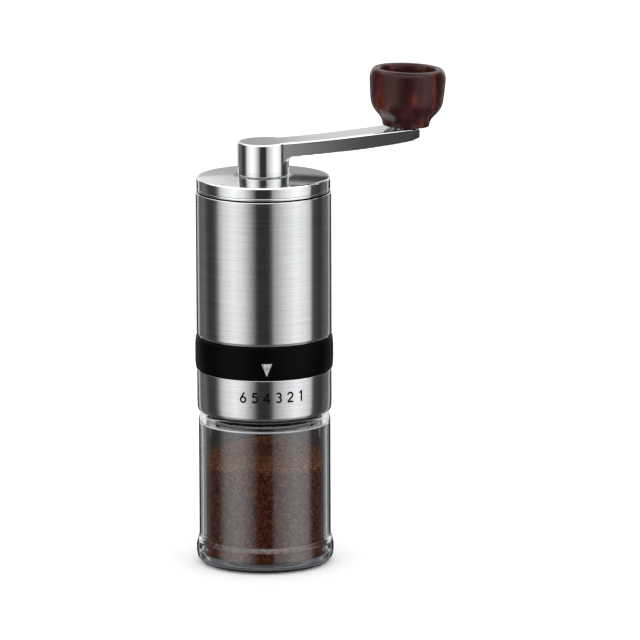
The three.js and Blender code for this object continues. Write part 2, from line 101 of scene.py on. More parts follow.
# ---- materials ----
class Look:
    """A procedural material round one Principled shader."""

    def __init__(self, name, color, roughness, **sockets):
        self.material = bpy.data.materials.new(name)
        self.material.use_nodes = True
        self.tree = self.material.node_tree
        self.shader = self.tree.nodes["Principled BSDF"]
        self.set(**{"Base Color": (*color, 1.0), "Roughness": roughness})
        self.set(**{key.replace("_", " "): value for key, value in sockets.items()})
        self.where = self.node("ShaderNodeTexCoord").outputs["Object"]

    def set(self, **sockets):
        for key, value in sockets.items():
            self.shader.inputs[key].default_value = value

    def node(self, kind, inputs=None, **settings):
        return add_node(self.tree, kind, inputs, **settings)

    def stretched(self, x, y, z):
        """The row frame's coordinates in metres, times a scale for each axis."""
        inputs = {"Vector": self.where, "Scale": (x, y, z)}
        return self.node("ShaderNodeMapping", inputs).outputs["Vector"]

    def noise(self, vector, scale=1.0, detail=3.0, rough=0.55, twist=0.0):
        inputs = {
            "Vector": vector,
            "Scale": scale,
            "Detail": detail,
            "Roughness": rough,
            "Distortion": twist,
        }
        return self.node("ShaderNodeTexNoise", inputs).outputs["Fac"]

    def spread(self, value, low, high, floor=0.3, top=0.7):
        """A value's range from floor to top, spread from low to high."""
        inputs = {"Value": value, "From Min": floor, "From Max": top, "To Min": low, "To Max": high}
        return self.node("ShaderNodeMapRange", inputs).outputs["Result"]

    def ramp(self, value, stops):
        return fill_ramp(self.node("ShaderNodeValToRGB", {"Fac": value}), stops)

    def shade(self, value, color, *stops):
        """Colours by shades of one colour: each stop is a place and a factor on the colour."""
        shades = [(at, [c * factor for c in color]) for at, factor in stops]
        self.use("Base Color", self.ramp(value, shades))

    def brush_round_z(self):
        """Turns the shader's anisotropy to follow circles about Z."""
        tangent = self.node("ShaderNodeTangent", direction_type="RADIAL", axis="Z")
        self.use("Tangent", tangent.outputs["Tangent"])

    def math(self, operation, first, second):
        return self.node("ShaderNodeMath", {0: first, 1: second}, operation=operation).outputs[0]

    def use(self, socket, value):
        self.tree.links.new(value, self.shader.inputs[socket])

    def bump(self, height, strength, depth):
        inputs = {"Height": height, "Strength": strength, "Distance": depth}
        self.use("Normal", self.node("ShaderNodeBump", inputs).outputs["Normal"])


def brushed_round(name, color, rough):
    """Steel brushed round its axis: fine lines along the girth, with a few deeper ones."""
    look = Look(name, color, rough, Metallic=1.0, Anisotropic=0.55, Anisotropic_Rotation=0.25)
    look.brush_round_z()
    fine = look.noise(look.stretched(70, 70, 5200), detail=2.0)
    broad = look.noise(look.stretched(45, 45, 1300), detail=4.0, rough=0.6)
    lines = look.math("ADD", look.math("MULTIPLY", fine, 0.55), look.math("MULTIPLY", broad, 0.45))
    look.shade(lines, color, (0.34, 0.9), (0.62, 1.08))
    look.use("Roughness", look.spread(lines, rough * 0.8, rough * 1.3))
    look.bump(lines, 0.07, 0.00002)
    return look.material


def brushed_disc(name, color, rough):
    """Steel turned on a lathe: fine rings about the axis."""
    look = Look(name, color, rough, Metallic=1.0, Anisotropic=0.7, Anisotropic_Rotation=0.25)
    look.brush_round_z()
    parts = look.node("ShaderNodeSeparateXYZ", {"Vector": look.where})
    flat = look.node("ShaderNodeCombineXYZ", {"X": parts.outputs["X"], "Y": parts.outputs["Y"]})
    reach = look.node("ShaderNodeVectorMath", {0: flat.outputs[0]}, operation="LENGTH").outputs["Value"]
    rings = look.node("ShaderNodeCombineXYZ", {"X": look.math("ADD", reach, parts.outputs["Z"])})
    lines = look.noise(rings.outputs[0], scale=3800, detail=3.0, rough=0.6)
    look.shade(lines, color, (0.36, 0.86), (0.6, 1.08))
    look.use("Roughness", look.spread(lines, rough * 0.85, rough * 1.3))
    look.bump(lines, 0.08, 0.00002)
    return look.material


def polished(name, color, rough):
    """Mirror-polished metal with hairline scratches and faint handling marks."""
    look = Look(name, color, rough, Metallic=1.0)
    marks = look.noise(look.stretched(140, 140, 140), detail=4.0)
    hairs = look.noise(look.stretched(40, 2600, 2600), detail=2.0)
    look.use("Roughness", look.spread(marks, rough * 0.6, rough * 1.7, 0.35, 0.7))
    look.shade(hairs, color, (0.3, 0.96), (0.6, 1.0))
    look.bump(hairs, 0.012, 0.00001)
    return look.material


def worked_metal(name, color, rough):
    """Machined metal: small tool marks and a slight stain."""
    look = Look(name, color, rough, Metallic=1.0)
    marks = look.noise(look.stretched(900, 900, 3000), detail=3.0)
    stain = look.noise(look.stretched(120, 120, 120), detail=4.0)
    look.shade(stain, color, (0.35, 0.7), (0.65, 1.0))
    look.use("Roughness", look.spread(marks, rough * 0.8, rough * 1.3))
    look.bump(marks, 0.1, 0.00003)
    return look.material


def moulded(name, color, rough, grain=2600, depth=0.00003, specular=0.5):
    """Moulded plastic, ceramic or rubber with a fine even grain."""
    look = Look(name, color, rough, Specular_IOR_Level=specular)
    tooth = look.noise(look.stretched(grain, grain, grain), detail=2.0)
    cloud = look.noise(look.stretched(90, 90, 90), detail=3.0)
    look.shade(cloud, color, (0.3, 0.85), (0.7, 1.1))
    look.use("Roughness", look.spread(cloud, rough * 0.88, rough * 1.12))
    look.bump(tooth, 0.25, depth)
    return look.material


def dark_wood():
    """Dark oiled rosewood: long black grain with a few red streaks and open pores."""
    sheen = {"Specular_IOR_Level": 0.1, "Coat_Weight": 0.28, "Coat_Roughness": 0.04}
    look = Look("knob_wood", (0.03, 0.012, 0.01), 0.22, **sheen)
    grain = look.noise(look.stretched(190, 190, 30), detail=5.0, rough=0.62, twist=0.6)
    color = look.ramp(
        grain,
        [
            (0.30, (0.012, 0.0035, 0.0035)),
            (0.45, (0.032, 0.0075, 0.007)),
            (0.55, (0.050, 0.0105, 0.009)),
            (0.62, (0.115, 0.021, 0.012)),
            (0.70, (0.038, 0.0085, 0.0075)),
        ],
    )
    look.use("Base Color", color)
    pores = look.noise(look.stretched(1500, 1500, 160), detail=3.0)
    look.use("Roughness", look.spread(pores, 0.17, 0.32))
    look.bump(look.math("ADD", look.math("MULTIPLY", pores, 0.6), grain), 0.12, 0.00012)
    return look.material


def clear_glass():
    """Pressed jar glass, faintly blue, with a very slight waviness."""
    sheen = {"Transmission_Weight": 1.0, "IOR": 1.56, "Coat_Weight": 0.3}
    look = Look("jar_glass", (0.955, 0.972, 0.98), 0.0, **sheen)
    wave = look.noise(look.stretched(60, 60, 40), detail=2.0)
    look.use("Roughness", look.spread(wave, 0.0, 0.02, 0.4, 0.8))
    look.bump(wave, 0.05, 0.0006)
    return look.material


def coffee_grounds():
    """Medium ground coffee: dark grains with paler chaff between them, and painted light on the top:
    paler above a set height, as if lit from above.
    """
    look = Look("coffee", (0.07, 0.026, 0.012), 0.9, Specular_IOR_Level=0.02)
    bent = look.noise(look.stretched(500, 500, 500), detail=3.0)
    place = look.node("ShaderNodeVectorMath", {0: look.where, 1: [0.0004] * 3}, operation="ADD")
    grains = look.node("ShaderNodeTexVoronoi", {"Vector": place.outputs[0], "Scale": 2300})
    shade = look.node("ShaderNodeSeparateColor", {"Color": grains.outputs["Color"]}).outputs[0]
    height = look.node("ShaderNodeSeparateXYZ", {"Vector": look.where}).outputs["Z"]
    # painted light: the coffee is made paler towards its top, standing in for light falling on the heap
    painted_top_light = look.spread(height, 0.0, 0.3, TOP_LIGHT_FROM, TOP_LIGHT_TO)
    mixed = look.math("ADD", look.math("MULTIPLY", shade, 0.5), look.math("MULTIPLY", bent, 0.5))
    mixed = look.math("ADD", mixed, painted_top_light)
    color = look.ramp(
        mixed,
        [
            (0.20, (0.030, 0.0062, 0.003)),
            (0.42, (0.100, 0.023, 0.009)),
            (0.58, (0.168, 0.040, 0.015)),
            (0.74, (0.31, 0.082, 0.028)),
            (0.90, (0.56, 0.24, 0.11)),
        ],
    )
    look.use("Base Color", color)
    look.bump(grains.outputs["Distance"], 0.9, 0.0006)
    return look.material


STEEL = (0.66, 0.665, 0.67)
tube_steel = brushed_round("tube_steel", STEEL, 0.17)
lid_steel = brushed_disc("lid_steel", (0.8, 0.805, 0.81), 0.085)
bright_steel = polished("bright_steel", (0.86, 0.865, 0.87), 0.045)
dark_steel = worked_metal("dark_steel", (0.34, 0.345, 0.35), 0.35)
bronze = worked_metal("bronze", (0.55, 0.36, 0.16), 0.35)
black_plastic = moulded("black_plastic", (0.0012, 0.0013, 0.0017), 0.38, specular=0.05)
number_ink = moulded("number_ink", (0.0025, 0.0025, 0.0028), 0.5, specular=0.08)
silicone = moulded("silicone", (0.02, 0.021, 0.023), 0.75)
ceramic = moulded("ceramic", (0.78, 0.76, 0.71), 0.35, grain=900)
wood = dark_wood()
glass = clear_glass()
coffee = coffee_grounds()

SLOT_LOOKS = {
    "brushed_steel": tube_steel,
    "polished_steel": bright_steel,
    "dark_steel": dark_steel,
    "bronze": bronze,
    "black_plastic": black_plastic,
    "ceramic": ceramic,
    "silicone": silicone,
    "jar_glass": glass,
    "knob_wood": wood,
    "coffee": coffee,
}


# ---- mesh helpers ----
def mesh_object(name, points, faces):
    """A new object in the scene from millimetre points."""
    mesh = bpy.data.meshes.new(name)
    mesh.from_pydata([Vector(p) * MM for p in points], [], [list(f) for f in faces])
    mesh.update()
    made = bpy.data.objects.new(name, mesh)
    bpy.context.scene.collection.objects.link(made)
    return made


def piece(name, points, faces, look, body, slot, stands_for=(), smooth=True):
    """A mesh piece that rides on a body and stands for CAD nodes. Smooth keeps edges over SHARP."""
    made = mesh_object(name, points, faces)
    if smooth:
        made.data.shade_smooth()
        made.data.set_sharp_from_angle(angle=SHARP)
    made.data.materials.append(look)
    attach(made, body)
    if stands_for:
        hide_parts(*stands_for)
    return made


def polar(r, angle, z):
    return (r * math.cos(angle), r * math.sin(angle), z)


def unit(v):
    return v / np.linalg.norm(v)


def filleted(profile, steps=5):
    """Profile points [r, z] or [r, z, fillet], with each fillet turned into a short arc."""
    out = []
    count = len(profile)
    for i, point in enumerate(profile):
        here = np.array(point[:2], float)
        fillet = point[2] if len(point) > 2 else 0.0
        if not fillet:
            out.append(tuple(here))
            continue
        back = unit(np.array(profile[i - 1][:2], float) - here)
        ahead = unit(np.array(profile[(i + 1) % count][:2], float) - here)
        half = math.acos(max(-1.0, min(1.0, float(back @ ahead)))) / 2
        start, end = here + back * fillet / math.tan(half), here + ahead * fillet / math.tan(half)
        middle = here + unit(back + ahead) * fillet / math.sin(half)
        a, b = start - middle, end - middle
        sweep = math.acos(max(-1.0, min(1.0, float(a @ b) / fillet**2)))
        turn = math.copysign(sweep, a[0] * b[1] - a[1] * b[0])
        for k in range(steps + 1):
            angle = turn * k / steps
            c, s = math.cos(angle), math.sin(angle)
            out.append((middle[0] + c * a[0] - s * a[1], middle[1] + s * a[0] + c * a[1]))
    return out


def smooth_run(points, steps=5):
    """A Catmull-Rom run through [r, z] points."""
    p = [np.array(q, float) for q in points]
    p = [2 * p[0] - p[1], *p, 2 * p[-1] - p[-2]]
    out = []
    for i in range(1, len(p) - 2):
        a, b, c, d = p[i - 1 : i + 3]
        for k in range(steps):
            t = k / steps
            square, cube = 2 * a - 5 * b + 4 * c - d, 3 * b - a - 3 * c + d
            at = 2 * b + (c - a) * t + square * t * t + cube * t**3
            out.append(tuple(at / 2))
    return [*out, tuple(p[-2])]


def turned(profile, facets=AROUND):
    """Points and quads of a profile turned about Z. A point at r = 0 becomes one vertex."""
    area = sum(a[0] * b[1] - b[0] * a[1] for a, b in zip(profile, [*profile[1:], profile[0]]))
    profile = list(profile) if area > 0 else list(reversed(profile))
    points, rows = [], []
    for r, z in profile:
        if r < 1e-6:
            rows.append([len(points)] * facets)
            points.append((0.0, 0.0, z))
            continue
        rows.append(list(range(len(points), len(points) + facets)))
        points += [polar(r, math.tau * i / facets, z) for i in range(facets)]
    faces = []
    for low, high in zip(rows, [*rows[1:], rows[0]]):
        for i in range(facets):
            j = (i + 1) % facets
            loop = list(dict.fromkeys((low[i], low[j], high[j], high[i])))
            if len(loop) > 2:
                faces.append(loop)
    return points, faces


def along_knob(points):
    """Points made about the knob's own axis, moved to the end of the arm and leaned outwards."""
    lean = Matrix.Translation((KNOB_X, 0, KNOB_Z)) @ Matrix.Rotation(KNOB_TILT, 4, "Y")
    return [lean @ Vector(p) for p in points]


def swept(section, lead, start_deg, end_deg, steps):
    """A closed convex section of [r, z] points wound up a right-hand helix, with flat ends."""
    n, points, faces = len(section), [], []
    for i in range(steps + 1):
        angle = math.radians(start_deg + (end_deg - start_deg) * i / steps)
        for r, z in section:
            points.append(polar(r, angle, z + lead * angle / math.tau))
    for i in range(steps):
        for j in range(n):
            a, b = i * n + j, i * n + (j + 1) % n
            faces.append((a, a + n, b + n, b))
    faces.append(tuple(range(n)))
    faces.append(tuple(reversed(range(steps * n, steps * n + n))))
    return points, faces


def natural_spline(xs, ys):
    """The natural cubic spline through the points, as a function of an array; straight outside them."""
    xs, ys = np.array(xs, float), np.array(ys, float)
    h = np.diff(xs)
    n = len(xs)
    system, right = np.eye(n), np.zeros(n)
    for i in range(1, n - 1):
        system[i, i - 1 : i + 2] = h[i - 1], 2 * (h[i - 1] + h[i]), h[i]
        right[i] = 6 * ((ys[i + 1] - ys[i]) / h[i] - (ys[i] - ys[i - 1]) / h[i - 1])
    bend = np.linalg.solve(system, right)

    def at(x):
        inside = np.clip(x, xs[0], xs[-1])
        i = np.clip(np.searchsorted(xs, inside) - 1, 0, n - 2)
        a, b = (xs[i + 1] - inside) / h[i], (inside - xs[i]) / h[i]
        bow = ((a**3 - a) * bend[i] + (b**3 - b) * bend[i + 1]) * h[i] ** 2 / 6
        curve = a * ys[i] + b * ys[i + 1] + bow
        first = (ys[1] - ys[0]) / h[0] - h[0] * (2 * bend[0] + bend[1]) / 6
        last = (ys[-1] - ys[-2]) / h[-1] + h[-1] * (bend[-2] + 2 * bend[-1]) / 6
        return curve + np.minimum(x - xs[0], 0) * first + np.maximum(x - xs[-1], 0) * last

    return at


def step_pair(axis):
    """Slices of a grid that pair each point with the next one along an axis."""
    near, far = [slice(None)] * 3, [slice(None)] * 3
    near[axis], far[axis] = slice(0, -1), slice(1, None)
    return tuple(near), tuple(far)


def slope_of(field, points, h=0.01):
    """The gradient of a field at points, by central differences."""
    ends = [(field(points + h * e) - field(points - h * e)) / (2 * h) for e in np.eye(3)]
    return np.stack(ends, -1)


def field_surface(field, low, high, cell):
    """The zero surface of a signed distance field: points, quads, and a normal for each corner."""
    axes = [np.arange(a, b + cell, cell) for a, b in zip(low, high)]
    grid = np.stack(np.meshgrid(*axes, indexing="ij"), -1)
    value = field(grid)
    inside = value < 0
    shape = [n - 1 for n in value.shape]
    total, count = np.zeros((*shape, 3)), np.zeros(shape)
    for axis in range(3):
        others = [a for a in range(3) if a != axis]
        near, far = step_pair(axis)
        crossing = inside[near] != inside[far]
        drop = np.where(crossing, value[near] - value[far], 1.0)
        share = np.where(crossing, value[near] / drop, 0.0)
        point = grid[near] + share[..., None] * (grid[far] - grid[near])
        for da in (0, 1):
            for db in (0, 1):
                part = [slice(None)] * 3
                part[others[0]] = slice(da, da + shape[others[0]])
                part[others[1]] = slice(db, db + shape[others[1]])
                part = tuple(part)
                hit = crossing[part]
                total += np.where(hit[..., None], point[part], 0.0)
                count += hit
    used = count > 0
    index = np.full(shape, -1)
    index[used] = np.arange(used.sum())
    points = total[used] / count[used][:, None]
    faces = []
    for axis in range(3):
        b, c = (axis + 1) % 3, (axis + 2) % 3
        near, far = step_pair(axis)
        at = np.argwhere(inside[near] != inside[far])
        at = at[(at[:, b] > 0) & (at[:, c] > 0) & (at[:, b] < shape[b]) & (at[:, c] < shape[c])]
        step_b, step_c = np.eye(3, dtype=int)[b], np.eye(3, dtype=int)[c]
        around = [at - db * step_b - dc * step_c for db, dc in ((0, 0), (1, 0), (1, 1), (0, 1))]
        quad = np.stack([index[tuple(cells.T)] for cells in around], 1)
        solid_first = inside[tuple(at.T)]
        quad[~solid_first] = quad[~solid_first][:, ::-1]
        faces.append(quad)
    for _ in range(6):
        slope = slope_of(field, points)
        steep = np.maximum((slope**2).sum(-1), 0.05)
        move = np.clip(field(points) / steep, -cell, cell)
        points = points - slope * move[:, None]
    faces = np.concatenate(faces)
    normals = (slope / np.linalg.norm(slope, axis=1)[:, None])[faces]
    # Across a crease each corner takes the slope nearer its own face's middle. The limits are degrees.
    corners = points[faces]
    middle = corners.mean(1, keepdims=True)
    for share, limit in ((0.6, 14), (1.0, 30)):
        within = corners + share * (middle - corners)
        own = slope_of(field, within)
        own /= np.maximum(np.linalg.norm(own, axis=-1), 0.001)[..., None]
        creased = (own * normals).sum(-1) < math.cos(math.radians(limit))
        normals[creased] = own[creased]
    return points, faces, normals.reshape(-1, 3)


def both(a, b, r):
    """Where two fields are both solid, with the shared edge rounded off by r."""
    return np.minimum(np.maximum(a, b), -r) + np.hypot(np.maximum(a + r, 0), np.maximum(b + r, 0))


def either(a, b, r):
    """Where either of two fields is solid, with a fillet of r in the corner between them."""
    return np.maximum(np.minimum(a, b), r) - np.hypot(np.maximum(r - a, 0), np.maximum(r - b, 0))


# ---- hopper tube, collar and grind ring ----
def build_tube():
    profile = filleted(
        [
            (TUBE_BORE, 89.9, 0.2),
            (TUBE_R - 0.42, 89.32, 0.12),
            (TUBE_R - 0.28, 89.45, 0.12),
            (TUBE_R - 0.1, 90.15, 0.2),
            (TUBE_R, 90.4, 0.3),
            (TUBE_R, 145.28, 0.45),
            (TUBE_BORE, 145.28, 0.15),
        ]
    )
    piece("hopper_tube", *turned(profile), tube_steel, "housing", "brushed_steel", ["body_shell"])


def build_collar():
    profile = filleted(
        [
            (COLLAR_BORE, 76.62, 0.1),
            (COLLAR_R - 0.32, 76.62, 0.35),
            (COLLAR_R - 0.02, 79.4, 6.0),
            (COLLAR_R - 0.02, 85.8, 6.0),
            (COLLAR_R - 0.3, 89.03, 0.35),
            (COLLAR_BORE, 89.03, 0.1),
        ]
    )
    piece("collar_band", *turned(profile), black_plastic, "housing", "black_plastic", ["collar"])


def build_pointer():
    """A small steel triangle let into the collar, curved with it."""
    top, tip, half = 83.0, 78.2, 2.0
    rows, across = 12, 8
    points, faces = [], []
    for r in (COLLAR_R + 0.03, COLLAR_R - 0.4):
        for i in range(rows + 1):
            down = i / rows
            z = top + (tip - top) * down
            wide = half * (1 - down) + 0.06 * down
            for j in range(across + 1):
                angle = math.radians(POINTER_DEG - 90) + wide * (2 * j / across - 1) / COLLAR_R
                points.append(polar(r, angle, z))
    layer, row = (rows + 1) * (across + 1), across + 1
    for i in range(rows):
        for j in range(across):
            a = i * row + j
            faces.append((a, a + row, a + row + 1, a + 1))
            faces.append((a + layer, a + 1 + layer, a + row + 1 + layer, a + row + layer))
    rim = list(range(row))
    rim += [i * row + across for i in range(1, rows + 1)]
    rim += [rows * row + j for j in reversed(range(across))]
    rim += [i * row for i in reversed(range(1, rows))]
    for a, b in zip(rim, [*rim[1:], rim[0]]):
        faces.append((a, b, b + layer, a + layer))
    piece("pointer", points, faces, pointer_steel(), "housing", "polished_steel", ["pointer_mark"])


def pointer_steel():
    look = Look("pointer_steel", (0.78, 0.78, 0.79), 0.4, Metallic=0.6)
    hatch = look.noise(look.stretched(2600, 2600, 500), detail=2.0)
    look.use("Base Color", look.ramp(hatch, [(0.35, (0.42, 0.42, 0.43)), (0.6, (0.86, 0.86, 0.87))]))
    look.use("Roughness", look.spread(hatch, 0.3, 0.55))
    look.bump(hatch, 0.3, 0.00004)
    return look.material


def build_number_ring():
    profile = filleted(
        [
            (RING_BORE, 60.32, 0.1),
            (RING_R - 0.36, 60.32, 0.25),
            (RING_R - 0.1, 61.4, 2.0),
            (RING_R, 63.6, 6.0),
            (RING_R, 76.28, 0.4),
            (RING_BORE, 76.28, 0.1),
        ]
    )
    piece("grind_ring", *turned(profile), tube_steel, "grind_dial", "brushed_steel", ["number_ring"])


def arc(cx, cy, r, start_deg, end_deg, steps=18):
    span = [math.radians(start_deg + (end_deg - start_deg) * i / steps) for i in range(steps + 1)]
    return [(cx + r * math.cos(a), cy + r * math.sin(a)) for a in span]


# Each number as centre lines in millimetres about its own middle, 4.1 high.
NUMBER_LINES = {
    1: [[(-0.62, 1.28), (0.18, 1.86), (0.18, -2.05)]],
    2: [[*arc(0.0, 0.80, 0.98, 172, -32), (-0.98, -1.72)], [(-1.18, -1.77), (1.22, -1.77)]],
    3: [arc(-0.05, 0.90, 0.87, 148, -96), arc(-0.05, -0.80, 0.97, 98, -150)],
    4: [[(0.50, -2.05), (0.50, 1.72), (-1.22, -0.92)], [(-1.36, -0.92), (1.26, -0.92)]],
    5: [[(0.98, 1.77), (-0.52, 1.77), (-0.74, 0.12)], arc(-0.05, -0.66, 1.11, 128, -152)],
    6: [arc(0.0, -0.76, 1.01, 0, 360, 30), [(-0.86, -0.22), (0.42, 2.02)]],
}


def stroke(line):
    """The two edges of a pen stroke along a line, mitred at its corners."""
    path = [np.array(p, float) for p in line]
    fine = [path[0]]
    for a, b in zip(path, path[1:]):
        parts = max(1, int(np.linalg.norm(b - a) / 0.3))
        fine += [a + (b - a) * k / parts for k in range(1, parts + 1)]
    left, right = [], []
    for i, at in enumerate(fine):
        before = at - fine[i - 1] if i else fine[1] - at
        after = fine[i + 1] - at if i + 1 < len(fine) else before
        if np.allclose(fine[0], fine[-1]) and i in (0, len(fine) - 1):
            before, after = fine[-1] - fine[-2], fine[1] - fine[0]
        before, after = unit(before), unit(after)
        along = unit(before + after)
        side = np.array([-along[1], along[0]]) * PEN / max(0.5, float(along @ after))
        left.append(at + side)
        right.append(at - side)
    return left, right


def build_numbers():
    for number, lines in NUMBER_LINES.items():
        centre = math.radians(POINTER_DEG - 90 + (4 - number) * STEP_DEG)
        points, faces = [], []
        for line in lines:
            left, right = stroke(line)
            base = len(points)
            for a, b in zip(left, right):
                for r in (RING_R + 0.02, RING_R - 0.1):
                    points += [polar(r, centre + u / RING_R, NUMBER_Z + v) for u, v in (a, b)]
            for i in range(len(left) - 1):
                a = base + 4 * i
                faces += [
                    (a + 4, a, a + 1, a + 5),
                    (a + 2, a + 6, a + 7, a + 3),
                    (a, a + 4, a + 6, a + 2),
                    (a + 5, a + 1, a + 3, a + 7),
                ]
            end = base + 4 * (len(left) - 1)
            faces += [(base, base + 2, base + 3, base + 1), (end, end + 1, end + 3, end + 2)]
        name = f"number_{number}"
        piece(name, points, faces, number_ink, "grind_dial", "black_plastic", smooth=False)


# ---- lid ----
def build_lid():
    profile = filleted(
        [
            (25.02, 145.78, 0.1),
            (25.64, 145.78, 0.2),
            (25.64, 146.45, 0.15),
            (25.54, 146.6, 0.1),
            (25.66, 146.85, 0.15),
            (25.66, 150.74, 0.7),
            (24.3, 150.9, 0.6),
            *[(r, 151.78 - 0.0015 * r * r) for r in (22, 19.5, 17, 14.5, 12.2, 10.5)],
            (10.06, 151.58, 0.08),
            (10.0, 151.28, 0.08),
            (4.62, 151.26, 0.1),
            (4.62, 151.0),
            (15.0, 150.8),
            (24.0, 150.4),
            (25.02, 149.6),
        ]
    )
    piece("lid", *turned(profile), lid_steel, "lid", "brushed_steel", ["lid_cap"])
    insert = filleted(
        [
            (23.2, 141.42, 0.3),
            (24.6, 141.42, 0.4),
            (24.7, 142.4, 0.1),
            (23.9, 142.4),
            (23.9, 144.6),
            (24.7, 144.6, 0.1),
            (24.7, 149.0, 0.3),
            (24.0, 149.9),
            (4.82, 150.15),
            (4.82, 145.05, 0.2),
            (6.6, 145.05, 0.3),
            (6.6, 148.4, 0.6),
            (23.2, 148.0, 0.8),
        ],
        steps=3,
    )
    piece("lid_insert", *turned(insert, 96), black_plastic, "lid", "black_plastic", ["lid_plug"])
    seal = [(24.1, 142.7, 0.3), (25.08, 142.7, 0.35), (25.08, 144.3, 0.35), (24.1, 144.3, 0.3)]
    seal = filleted(seal, 4)
    piece("lid_o_ring", *turned(seal, 96), silicone, "lid", "silicone", ["lid_seal"])


# ---- crank ----
# The heights of the arm's top and underside along X.
arm_top = natural_spline(
    [-10, 0, 8, 14, 22, 31, 41, 52, 62],
    [164.5, 164.56, 164.78, 165.1, 165.68, 166.47, 167.48, 168.62, 169.66],
)
arm_under = natural_spline(
    [12, 20, 26, 32, 38.5, 44.6, 50.8, 56],
    [159.45, 160.1, 160.6, 161.1, 161.75, 162.55, 163.45, 164.4],
)


def arm_field(p):
    """The crank as a signed distance: a post, a rising arm, and a seat and hole for the knob."""
    x, y, z = p[..., 0], p[..., 1], p[..., 2]
    hub = np.hypot(x, y) - HUB_R
    half = ARM_NECK + 0.0005 * np.maximum(x - 4, 0) ** 2
    corner = (x + np.abs(y) - 64.9) * math.sqrt(0.5)
    bar = np.maximum(np.maximum(np.abs(y) - half, both(x - ARM_END, corner, 0.6)), -x)
    top, under = z - arm_top(x), arm_under(x) - z
    nose = (x - 53.9 - (z - 163.9)) * math.sqrt(0.5)
    below = both(under, nose, 2.0)
    arm = both(both(bar, top, 0.75), below, 0.55)
    post = both(both(hub, top, 0.75), HUB_FOOT - z, 0.32)
    web = np.maximum(either(hub, under, 2.8), np.maximum(bar, HUB_LOW + 1.0 - z))
    web = np.maximum(web, top + 1.5)
    solid = np.minimum(np.minimum(arm, post), web)
    c, s = math.cos(KNOB_TILT), math.sin(KNOB_TILT)
    dx, dz = x - KNOB_X, z - KNOB_Z
    out, up = c * dx - s * dz, s * dx + c * dz
    reach = np.hypot(out, y)
    solid = both(solid, -np.maximum(reach - 9.6, -0.3 - up), 0.2)
    solid = both(solid, -np.maximum(reach - 5.75, -1.2 - up), 0.15)
    solid = both(solid, 2.1 - reach, 0.15)
    turn = np.pi / 6 + np.pi / 3 * np.arange(3)
    hexagon = np.max([np.abs(x * math.cos(a) + y * math.sin(a)) for a in turn], axis=0)
    return np.maximum(solid, -np.maximum(hexagon - SHAFT_HEX, z - SHAFT_HEX_TOP))


def build_crank():
    low, high, cell = (-10.4, -10.4, 151.6), (62.6, 10.4, 172.0), 0.38
    points, faces, normals = field_surface(arm_field, low, high, cell)
    on_crank = (bright_steel, "crank", "polished_steel")
    made = piece("crank", points, faces, *on_crank, ["crank_arm"], smooth=False)
    made.data.shade_smooth()
    made.data.normals_split_custom_set([tuple(n) for n in normals])
    screw = filleted(
        [
            (0, -3.5),
            (1.9, -3.5, 0.4),
            (1.9, -1.1),
            (2.5, -1.1),
            (2.5, 12.3),
            (4.4, 12.3, 0.2),
            (4.4, 14.5, 0.6),
            (2.1, 14.5, 0.1),
            (1.9, 13.0),
            (0, 12.9),
        ],
        steps=4,
    )
    points, faces = turned(screw, 48)
    piece("knob_pivot", along_knob(points), faces, *on_crank, ["knob_screw"])
    washer = filleted([(2.8, -0.9, 0.1), (5.2, -0.9, 0.15), (5.2, -0.3, 0.15), (2.8, -0.3, 0.1)], 3)
    points, faces = turned(washer, 64)
    piece("pivot_washer", along_knob(points), faces, *on_crank, ["knob_washer"])


def build_knob():
    outside = smooth_run(
        [
            (8.95, -0.04),
            (9.06, 0.5),
            (9.2, 1.4),
            (9.65, 2.5),
            (10.6, 3.8),
            (11.85, 5.2),
            (12.75, 6.4),
            (13.4, 7.6),
            (13.8, 8.9),
            (14.05, 10.6),
            (14.25, 12.6),
            (14.45, 15.4),
            (14.58, 18.2),
            (14.4, 19.8),
            (13.9, 21.05),
            (13.15, 21.85),
            (12.2, 22.08),
            (11.4, 21.85),
            (10.8, 21.2),
            (10.5, 19.8),
            (10.15, 16.8),
            (9.2, 14.1),
            (7.6, 12.6),
            (5.6, 12.05),
        ]
    )
    profile = [(3.8, -0.16), (8.75, -0.16), *outside, (3.8, 12.02)]
    points, faces = turned(profile, 96)
    piece("wood_knob", along_knob(points), faces, wood, "handle_knob", "knob_wood", ["knob"])


# ---- jar ----
def joined(parts, name):
    """One closed mesh from several overlapping closed ones."""
    made = [mesh_object(f"{name}_{i}", *part) for i, part in enumerate(parts)]
    for other in made[1:]:
        tool = made[0].modifiers.new("join", "BOOLEAN")
        tool.operation, tool.solver, tool.object = "UNION", "EXACT", other
    bpy.context.view_layer.update()
    seen = made[0].evaluated_get(bpy.context.evaluated_depsgraph_get())
    result = bpy.data.meshes.new_from_object(seen)
    points = [v.co / MM for v in result.vertices]
    faces = [tuple(f.vertices) for f in result.polygons]
    for item in made:
        bpy.data.objects.remove(item)
    return points, faces


